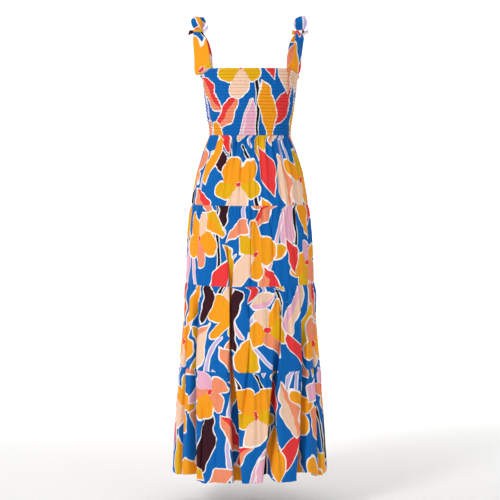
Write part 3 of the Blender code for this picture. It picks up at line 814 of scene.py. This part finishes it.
# Where on the printed cloth each tier's front and back panel start.
TIER_PRINT = (
    ((310, 760), (1420, 820)),
    ((60, 505), (1150, 530)),
    ((520, 260), (1700, 240)),
    ((0, 0), (2100, -40)),
)
for number, (tier, prints) in enumerate(zip(TIERS, TIER_PRINT), start=1):
    drop = tier.top - tier.bottom
    down = [
        *TOP_LINES,
        *np.linspace(MIDDLE_FROM, drop - MIDDLE_TO_EDGE, MIDDLE_LINES),
        *(drop - up for up in EDGE_LINES),
    ]
    for side, turn, print_from in (("front", 0.5, prints[0]), ("back", 0.0, prints[1])):
        turns = turn + np.linspace(0, 0.5, LINE_POINTS + 1)
        lines = [spread_evenly(draped_line(tier, turns, below), SKIRT_COLUMNS) for below in down]
        panel = cut_panel(
            f"tier_{number}_{side}_cloth", lines, down,
            tier.cut_width, print_from, RIGHT_SIDE, WRONG_SIDE, CLOTH_THICKNESS,
        )
        cut = (tier.cut_width, drop + SEAMS_AND_HEM)
        fit_piece(panel, f"tier_{number}_{side}")


# Tie straps
# Four wide ties of the same cloth, each a turned and pressed tube. One end is sewn inside the
# header at a corner of the bodice, and the other runs up into a knot on the shoulder.

# A strap is sewn on between two places on the header, which are counted round it in 28
# columns from +X through the back. Its edges then run up through points in space.
HEADER_COLUMNS = 28
STRAP_INSIDE, STRAP_ABOVE_HEADER = 2.2, 1.5
STRAP_SEWN_DOWN, STRAP_SEWN_IN = 7, 0.6
Strap = namedtuple("Strap", "name inner_column outer_column inner_edge outer_edge print_from")
STRAPS = (
    Strap(
        "strap_front_left", 16.5, 15,
        ((-116, -76, -88), (-119, -69, -60), (-126, -44, -28), (-138, -12.9, -4)),
        ((-159, -40, -125), (-162, -41, -76), (-165, -27, -30), (-164, -12.9, -4)),
        (545, 715),
    ),
    Strap(
        "strap_back_left", 11.5, 13,
        ((-112, 82, -92), (-114, 74, -60), (-122, 46, -28), (-138, 12.9, -4)),
        ((-154, 50, -101), (-152, 54, -64), (-157, 33, -30), (-164, 12.9, -4)),
        (280, 300),
    ),
    Strap(
        "strap_front_right", 25.5, 27,
        ((123, -75, -88), (128, -69, -60), (130, -44, -30), (133, -12.9, -7)),
        ((147, -40, -113), (150, -41, -72), (155, -27, -31), (159, -12.9, -7)),
        (674, 605),
    ),
    Strap(
        "strap_back_right", 2.5, 1,
        ((110, 82, -92), (112, 75, -60), (118, 46, -28), (133, 12.9, -7)),
        ((148, 50, -101), (143, 55, -64), (146, 34, -31), (159, 12.9, -7)),
        (100, 120),
    ),
)
TIE_THICKNESS = 1.5
STRAP_ROWS, STRAP_COLUMNS = 64, 20
STRAP_CUT = (52, 150)


def along_curve(points, shares):
    """Points at these shares of the way along a smooth curve through a short list of points."""
    points = np.array(points, dtype=float)
    spans = len(points) - 1
    k = np.minimum((shares * spans).astype(int), spans - 1)
    t = (shares * spans - k)[:, None]
    before, start = points[np.maximum(k - 1, 0)], points[k]
    end, after = points[k + 1], points[np.minimum(k + 2, spans)]
    return (
        start
        + (end - before) * (t / 2)
        + (before * 2 - start * 5 + end * 4 - after) * (t * t / 2)
        + (start * 3 - before - end * 3 + after) * (t**3 / 2)
    )


def net_between(first, second, columns, lift):
    """A net of points between two edges, lifted off its own plane: lift takes the shares along
    and across, and gives millimetres."""
    across = np.linspace(0, 1, columns + 1)
    net = first[:, None] * (1 - across[:, None]) + second[:, None] * across[:, None]
    normal = np.cross(np.gradient(net, axis=0), np.gradient(net, axis=1))
    normal /= np.linalg.norm(normal, axis=2, keepdims=True)
    along = np.linspace(0, 1, len(first))[:, None]
    return net + normal * lift(along, across[None, :])[:, :, None]


def strap_root(column):
    """Where a strap starts: a little down inside the header, and then at its top edge."""
    angle = np.array([2 * math.pi * column / HEADER_COLUMNS])
    inside = UNDERARM_FLARE * under_arm(angle) - STRAP_INSIDE
    edge = neckline_height(angle)
    return [
        on_form(angle, edge - STRAP_SEWN_DOWN, inside - STRAP_SEWN_IN)[0],
        on_form(angle, edge + STRAP_ABOVE_HEADER, inside)[0],
    ]


STRAP_HOLLOW = 1.6
STRAP_PLEATS, STRAP_PLEAT_SHIFT, STRAP_PLEAT_DEPTH = 2.5, 0.15, 1.5
PLEATS_BEGIN, PLEATS_GROW = 0.45, 0.5
ROLLED_EDGE, ROLLED_SHARE = 0.5, 0.08


def strap_creases(along, across):
    """A soft hollow down the middle, and pleats that deepen towards the knot."""
    hollow = STRAP_HOLLOW * np.sin(math.pi * along) * np.cos(2 * math.pi * across)
    pleats = STRAP_PLEAT_DEPTH * smooth((along - PLEATS_BEGIN) / PLEATS_GROW)
    pleats = pleats * np.cos(2 * math.pi * (STRAP_PLEATS * across + STRAP_PLEAT_SHIFT))
    rolled = ROLLED_EDGE * smooth(1 - np.minimum(across, 1 - across) / ROLLED_SHARE)
    return hollow + pleats - rolled


# Two of the straps are laid out from their outer edge, so that all four face outwards.
FROM_OUTER_EDGE = ("strap_front_left", "strap_back_right")
for strap in STRAPS:
    shares = np.linspace(0, 1, STRAP_ROWS + 1)
    edges = [
        along_curve([*strap_root(strap.inner_column), *strap.inner_edge], shares),
        along_curve([*strap_root(strap.outer_column), *strap.outer_edge], shares),
    ]
    if strap.name in FROM_OUTER_EDGE:
        edges.reverse()
    lines = net_between(edges[0], edges[1], STRAP_COLUMNS, strap_creases)
    tie = cut_panel(
        f"{strap.name}_cloth", lines, STRAP_CUT[1] * (1 - shares), STRAP_CUT[0], strap.print_from,
        RIGHT_SIDE, RIGHT_SIDE, TIE_THICKNESS, offset=0,
    )
    fit_piece(tie, strap.name)


# Shoulder bows
# The two ties of each shoulder are knotted in a bow: a band pulled tight round them, a loop to
# the front and one to the back, and two short ends.

Bow = namedtuple("Bow", "name x height loop_width loop_rise leans loop_prints knot_print")
BOWS = (
    Bow("left", -151, -2, 32, 0.87, (-6, 8), ((460, 458), (296, 69)), (289, 69)),
    Bow("right", 146, -5, 34, 0.95, (5, -3), ((296, 69), (300, 150)), (503, 67)),
)
KNOT_SIZE = (30, 24, 17)
# A loop's outline in the plane that runs front to back: (out from the knot, above it).
LOOP_OUTLINE = (
    (3.2, 9.3), (9, 20), (17, 33), (17, 44), (9, 47.5), (2.2, 41), (1.2, 26), (1.0, 9.3),
)
LOOP_HEIGHT = 47
LOOP_CUT_WIDTH, LOOP_CUT_LENGTH = 36, 104
LOOP_ROWS, LOOP_COLUMNS = 60, 16
LOOP_NECK_SHARE = 0.72
LOOP_TOP_SHARE = 0.58
LOOP_WIDENS = (9, 25)
LOOP_NARROWS = (34, 48)
LOOP_PLEATS, LOOP_PLEAT_SHIFT, LOOP_PLEAT_DEPTH = 2.0, 0.25, 1.1
PLEATED_SHARE = 0.3
LOOP_CROWN = 1.4


def loop_width_at(up):
    """A loop's share of its full width, at a height above the knot."""
    widened = smooth((up - LOOP_WIDENS[0]) / (LOOP_WIDENS[1] - LOOP_WIDENS[0]))
    narrowed = smooth((up - LOOP_NARROWS[0]) / (LOOP_NARROWS[1] - LOOP_NARROWS[0]))
    return between(LOOP_NECK_SHARE, 1.0, widened) - (1 - LOOP_TOP_SHARE) * narrowed


def loop_creases(along, across):
    """Pleats that run out of the knot at both ends of the loop and fade towards its top."""
    near_knot = smooth(1 - np.minimum(along, 1 - along) / PLEATED_SHARE)
    pleats = np.cos(2 * math.pi * (LOOP_PLEATS * across + LOOP_PLEAT_SHIFT))
    crown = LOOP_CROWN * np.sin(math.pi * along) * (1 - (2 * across - 1) ** 2)
    return LOOP_PLEAT_DEPTH * near_knot * pleats + crown


for bow in BOWS:
    loop_cut = (LOOP_CUT_WIDTH, LOOP_CUT_LENGTH * bow.loop_rise)
    for side, (which, facing) in enumerate((("front", -1), ("back", 1))):
        outline = along_curve(LOOP_OUTLINE, np.linspace(0, 1, LOOP_ROWS + 1))
        forward, up = outline[:, 0], outline[:, 1]
        edges = []
        for end in (-facing, facing):
            x = bow.x + end * bow.loop_width / 2 * loop_width_at(up)
            x = x + bow.leans[side] * up / LOOP_HEIGHT
            edges.append(np.stack([x, facing * forward, bow.height + bow.loop_rise * up], axis=1))
        lines = net_between(edges[0], edges[1], LOOP_COLUMNS, loop_creases)
        loop = cut_panel(
            f"loop_{which}_{bow.name}_cloth", lines, np.linspace(0, loop_cut[1], LOOP_ROWS + 1),
            loop_cut[0], bow.loop_prints[side], RIGHT_SIDE, RIGHT_SIDE, TIE_THICKNESS, offset=0,
        )
        fit_piece(loop, f"loop_{which}_{bow.name}")


# A tail's rows run from inside the knot to its slanted cut: shares of its reach and its rise,
# half its width, how far forward its lower and upper edges lie, and how far the cut slants.
TailRow = namedtuple("TailRow", "out rise half_width low_forward high_forward slant")
TAIL_ROWS = (
    TailRow(0.0, 0.0, 4, 5, 2, 0),
    TailRow(0.5, 0.4, 6, 8, 5, 0),
    TailRow(1.0, 1.0, 7, 9, 8, 4),
)
TAIL_INSIDE_KNOT = 2.3
TAIL_PAST_REACH = 0.7
TAIL_WIDTH, TAIL_CUT_HIDDEN = 14, 6
TAIL_HOLLOW, TAIL_OPENS = 0.8, 0.5
Tail = namedtuple("Tail", "name bow direction reach rise print_from")
TAILS = (
    Tail("tail_outer_left", BOWS[0], -1, 14, -4, (218, 194)),
    Tail("tail_inner_left", BOWS[0], 1, 15, 14, (296, 60)),
    Tail("tail_outer_right", BOWS[1], 1, 10, 4, (296, 60)),
    Tail("tail_inner_right", BOWS[1], -1, 10, 2, (262, 79)),
)
TAIL_LINES, TAIL_COLUMNS = 14, 12


def tail_creases(along, across):
    """A hollow down the middle that opens out towards the cut end."""
    return TAIL_HOLLOW * np.cos(2 * math.pi * across) * (1 - TAIL_OPENS * along)


for tail in TAILS:
    root = tail.bow.x + tail.direction * (KNOT_SIZE[0] / 2 - TAIL_INSIDE_KNOT)
    cut = (TAIL_WIDTH, tail.reach + TAIL_CUT_HIDDEN)
    low, high = [], []
    for row in TAIL_ROWS:
        out = (tail.reach + TAIL_INSIDE_KNOT + TAIL_PAST_REACH) * row.out
        z = tail.bow.height + tail.rise * row.rise
        low_x = root + tail.direction * out
        high_x = root + tail.direction * (out - row.slant)
        low.append((low_x, -row.low_forward, z - row.half_width))
        high.append((high_x, -row.high_forward, z + row.half_width))
    shares = np.linspace(0, 1, TAIL_LINES + 1)
    edges = [along_curve(high, shares), along_curve(low, shares)]
    if tail.direction < 0:
        edges.reverse()
    lines = net_between(edges[0], edges[1], TAIL_COLUMNS, tail_creases)
    end = cut_panel(
        f"{tail.name}_cloth", lines, cut[1] * shares, cut[0], tail.print_from,
        RIGHT_SIDE, RIGHT_SIDE, TIE_THICKNESS, offset=0,
    )
    fit_piece(end, tail.name)


# The knot is a ball swelled towards a block, a little lower in its middle. KNOT_CLOTH is how
# much of the printed cloth one radian of it takes, round and up.
KNOT_COLUMNS, KNOT_LINES = 72, 40
KNOT_POWER = 0.62
KNOT_MIDDLE_DIP = 0.14
KNOT_CLOTH = (14, 9)
MERGE_WITHIN_METRES = 0.00002
Wrinkle = namedtuple("Wrinkle", "depth waves drift")
BROAD_WRINKLE = Wrinkle(0.055, 3.2, 1.6)
FINE_WRINKLE = Wrinkle(0.03, 9, 2)


def squared(value):
    """A sine or cosine swelled towards 1, so that a ball turns to a rounded block."""
    return math.copysign(abs(value) ** KNOT_POWER, value)


def knot_point(around, up):
    """A point of the knot: a rounded block, wrinkled where the band is pulled tight round it."""
    broad, fine = BROAD_WRINKLE, FINE_WRINKLE
    pulled = broad.depth * math.sin(broad.waves * up + broad.drift * math.sin(around))
    pulled += fine.depth * math.cos(fine.waves * up + fine.drift * math.sin(around + 1))
    girth = squared(math.cos(up)) * (1 + pulled * math.cos(up))
    sideways = girth * squared(math.cos(around))
    height_share = 1 - KNOT_MIDDLE_DIP * (1 - abs(sideways))
    return Vector((
        KNOT_SIZE[0] / 2 * sideways,
        KNOT_SIZE[1] / 2 * girth * squared(math.sin(around)),
        KNOT_SIZE[2] / 2 * squared(math.sin(up)) * height_share,
    ))


for bow in BOWS:
    bm = bmesh.new()
    bmesh.ops.create_grid(bm, x_segments=KNOT_COLUMNS, y_segments=KNOT_LINES, size=0.5)
    cloth_map = bm.loops.layers.uv.new("cloth")
    for vert in bm.verts:
        around, up = 2 * math.pi * vert.co.x, math.pi * vert.co.y
        on_cloth = Vector(bow.knot_print) + Vector((around * KNOT_CLOTH[0], up * KNOT_CLOTH[1]))
        for loop in vert.link_loops:
            loop[cloth_map].uv = on_cloth * METRES_PER_MM
        vert.co = (Vector((bow.x, 0, bow.height)) + knot_point(around, up)) * METRES_PER_MM
    bmesh.ops.remove_doubles(bm, verts=bm.verts, dist=MERGE_WITHIN_METRES)
    bmesh.ops.recalc_face_normals(bm, faces=bm.faces)
    knot = add_piece(f"knot_{bow.name}_cloth", bm, RIGHT_SIDE)
    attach(knot, BODY)
    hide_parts(f"knot_{bow.name}")


# Studio
# A pale paper floor that sweeps up into a wall, soft lights, and the camera at the height of
# the waist, a little over four metres in front of the dress.

FLOOR_Z = -1.40
SWEEP_RADIUS = 1.6
SWEEP_RUN, SWEEP_WIDTH = 19.0, 22.0
FLAT_RUN = 12.0
WALL_Y = 5.6
bm = bmesh.new()
bmesh.ops.create_grid(bm, x_segments=1, y_segments=60, size=0.5)
for vert in bm.verts:
    ahead = (vert.co.y + 0.5) * SWEEP_RUN - FLAT_RUN
    turned = min(max(ahead / SWEEP_RADIUS, 0.0), math.pi / 2)
    y = WALL_Y - SWEEP_RADIUS + min(ahead, 0.0) + SWEEP_RADIUS * math.sin(turned)
    z = SWEEP_RADIUS * (1 - math.cos(turned)) + max(ahead - SWEEP_RADIUS * math.pi / 2, 0.0)
    vert.co = Vector((vert.co.x * SWEEP_WIDTH, y, z + FLOOR_Z))
paper = bpy.data.materials.new("matt_white_paper")
paper.use_nodes = True
paper_shader = paper.node_tree.nodes["Principled BSDF"]
paper_shader.inputs["Base Color"].default_value = linear("F6F6F5")
paper_shader.inputs["Roughness"].default_value = 0.95
floor = add_piece("studio_paper", bm, paper)

Light = namedtuple("Light", "name place aim size watts")
LIGHTS = (
    Light("key_softbox", (-2.5, -2.9, 1.2), (0, 0, -0.6), 1.2, 78),
    Light("fill_softbox", (2.6, -3.0, 0.4), (0, 0, -0.7), 2.4, 16),
    Light("back_softbox", (2.4, 3.2, 1.0), (0, 0, -0.6), 1.6, 46),
    Light("back_fill_softbox", (-2.6, 3.0, 0.6), (0, 0, -0.6), 1.6, 24),
    Light("paper_light_left", (-2.4, 2.9, 1.0), (-0.5, 5.6, -0.9), 2.0, 60),
    Light("paper_light_right", (2.4, 2.9, 1.0), (0.5, 5.6, -0.9), 2.0, 60),
)
scene = bpy.context.scene
for light in LIGHTS:
    lamp = bpy.data.lights.new(light.name, "AREA")
    lamp.shape = "DISK"
    lamp.size = light.size
    lamp.energy = light.watts
    lamp_object = bpy.data.objects.new(light.name, lamp)
    lamp_object.location = light.place
    aim = Vector(light.aim) - Vector(light.place)
    lamp_object.rotation_euler = aim.to_track_quat("-Z", "Y").to_euler()
    scene.collection.objects.link(lamp_object)

world = bpy.data.worlds.new("studio_air")
world.use_nodes = True
world.node_tree.nodes["Background"].inputs["Color"].default_value = linear("FFFFFF")
world.node_tree.nodes["Background"].inputs["Strength"].default_value = 0.5
scene.world = world
scene.view_settings.view_transform = "Standard"

# The lens frames the dress as the photograph does, and looks down a little.
CAMERA_PLACE = (0, -4.2, -0.31)
CAMERA_TILT = 4.4926
LENS, SENSOR = 102.82, 36
camera = bpy.data.cameras.new("camera")
camera.lens = LENS
camera.sensor_width = SENSOR
camera_object = bpy.data.objects.new("camera", camera)
camera_object.location = CAMERA_PLACE
camera_object.rotation_euler = (math.radians(90 - CAMERA_TILT), 0, 0)
scene.collection.objects.link(camera_object)
scene.camera = camera_object

bpy.context.view_layer.update()
